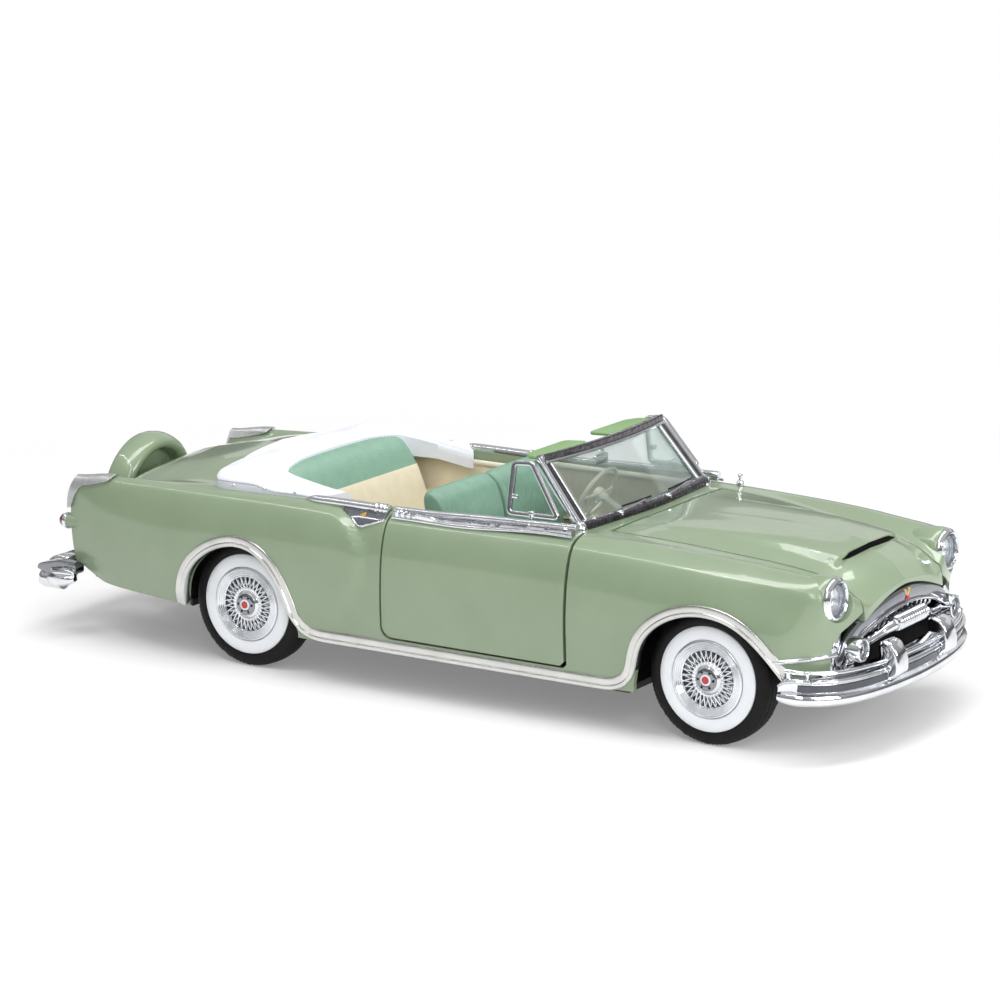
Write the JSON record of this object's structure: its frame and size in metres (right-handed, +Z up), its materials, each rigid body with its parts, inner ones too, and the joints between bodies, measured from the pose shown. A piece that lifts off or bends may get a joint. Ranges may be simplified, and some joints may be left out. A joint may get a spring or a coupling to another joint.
{
  "type": "diecast model convertible car",
  "caption": "Scale-model convertible with opening doors and hood, linked steering, rolling whitewall wheels, folded-roof boot cover and a spare wheel set in the tail.",
  "frame": {"origin": "on the ground under the middle of the car", "axes": "+X to the car's front, +Y to its left side, +Z up"},
  "size_m": [0.235, 0.083, 0.0604],
  "materials": {
    "green_paint": "gloss sage green enamel on die-cast zinc",
    "chrome_plate": "vacuum-plated",
    "white_vinyl": "satin, grained like vinyl cloth",
    "green_seat": "satin, pleated",
    "beige_plastic": "satin",
    "cream_plastic": "semi-gloss",
    "black_plastic": "matte",
    "tyre_rubber": "moulded tread",
    "white_rubber": "satin",
    "red_lens": "clear red",
    "clear_plastic": "clear",
    "steel": "bright",
    "engine_paint": "satin"
  },
  "bodies": {
    "body": {"aerial": "chrome_plate", "body_shell": "green_paint", "boot_cover": "white_vinyl", "chassis": "black_plastic", "dashboard": "cream_plastic", "engine": "engine_paint", "fin_trim_left": "chrome_plate", "fin_trim_right": "chrome_plate", "front_bumper": "chrome_plate", "front_seat": "green_seat", "grille": "chrome_plate", "headlight_bezel_left": "chrome_plate", "headlight_bezel_right": "chrome_plate", "headlight_lens_left": "clear_plastic", "headlight_lens_right": "clear_plastic", "interior_tub": "beige_plastic", "mirror": "chrome_plate", "quarter_trim_left": "chrome_plate", "quarter_trim_right": "chrome_plate", "rear_bumper": "chrome_plate", "rear_seat": "green_seat", "screw_front_left": "steel", "screw_front_right": "steel", "screw_rear": "steel", "spare_cover": "green_paint", "steering_wheel": "cream_plastic", "sun_visor_left": "green_seat", "sun_visor_right": "green_seat", "tail_lens_left": "red_lens", "tail_lens_right": "red_lens", "windshield_frame": "chrome_plate", "windshield_glass": "clear_plastic", "wipers": "chrome_plate"},
    "door_right": {"door_right": "green_paint", "door_panel_right": "beige_plastic", "door_trim_right": "chrome_plate", "vent_frame_right": "chrome_plate", "vent_glass_right": "clear_plastic"},
    "door_left": {"door_left": "green_paint", "door_panel_left": "beige_plastic", "door_trim_left": "chrome_plate", "vent_frame_left": "chrome_plate", "vent_glass_left": "clear_plastic"},
    "hood": {"hood": "green_paint"},
    "knuckle_right": {"knuckle_right": "black_plastic"},
    "knuckle_left": {"knuckle_left": "black_plastic"},
    "tie_rod": {"tie_rod": "black_plastic"},
    "wheel_front_right": {"tyre_front_right": "tyre_rubber", "whitewall_front_right": "white_rubber", "hub_front_right": "chrome_plate"},
    "wheel_front_left": {"tyre_front_left": "tyre_rubber", "whitewall_front_left": "white_rubber", "hub_front_left": "chrome_plate"},
    "rear_axle": {"rear_axle": "steel", "tyre_rear_right": "tyre_rubber", "whitewall_rear_right": "white_rubber", "hub_rear_right": "chrome_plate", "tyre_rear_left": "tyre_rubber", "whitewall_rear_left": "white_rubber", "hub_rear_left": "chrome_plate"}
  },
  "joints": [
    {"name": "door_right_hinge", "type": "hinge", "parent": "body", "child": "door_right", "pos_m": [0.0425, -0.0396, 0.014], "axis": [0, 0, 1], "range_deg": [0, 60]},
    {"name": "door_left_hinge", "type": "hinge", "parent": "body", "child": "door_left", "pos_m": [0.0425, 0.0396, 0.014], "axis": [0, 0, -1], "range_deg": [0, 60]},
    {"name": "hood_hinge", "type": "hinge", "parent": "body", "child": "hood", "pos_m": [0.049, 0, 0.0436], "axis": [0, -1, 0], "range_deg": [0, 45]},
    {"name": "steer_left", "type": "hinge", "parent": "body", "child": "knuckle_left", "pos_m": [0.0795, 0.0256, 0.0158], "axis": [0, 0, 1], "range_deg": [-20, 20]},
    {"name": "steer_right", "type": "hinge", "parent": "body", "child": "knuckle_right", "pos_m": [0.0795, -0.0256, 0.0158], "axis": [0, 0, 1], "range_deg": [-20, 20]},
    {"name": "tie_rod_slide", "type": "slide", "parent": "body", "child": "tie_rod", "axis": [0, 1, 0], "range_m": [-0.0025, 0.0025]},
    {"name": "front_left_spin", "type": "hinge", "parent": "knuckle_left", "child": "wheel_front_left", "pos_m": [0.0795, 0.0324, 0.0158], "axis": [0, 1, 0], "continuous": true},
    {"name": "front_right_spin", "type": "hinge", "parent": "knuckle_right", "child": "wheel_front_right", "pos_m": [0.0795, -0.0324, 0.0158], "axis": [0, 1, 0], "continuous": true},
    {"name": "rear_spin", "type": "hinge", "parent": "body", "child": "rear_axle", "pos_m": [-0.0496, 0, 0.0158], "axis": [0, 1, 0], "continuous": true}
  ],
  "couplings": [
    {"joint": "steer_right", "follows": "steer_left", "ratio": 1},
    {"joint": "tie_rod_slide", "follows": "steer_left", "m_per_rad": -0.00686}
  ]
}
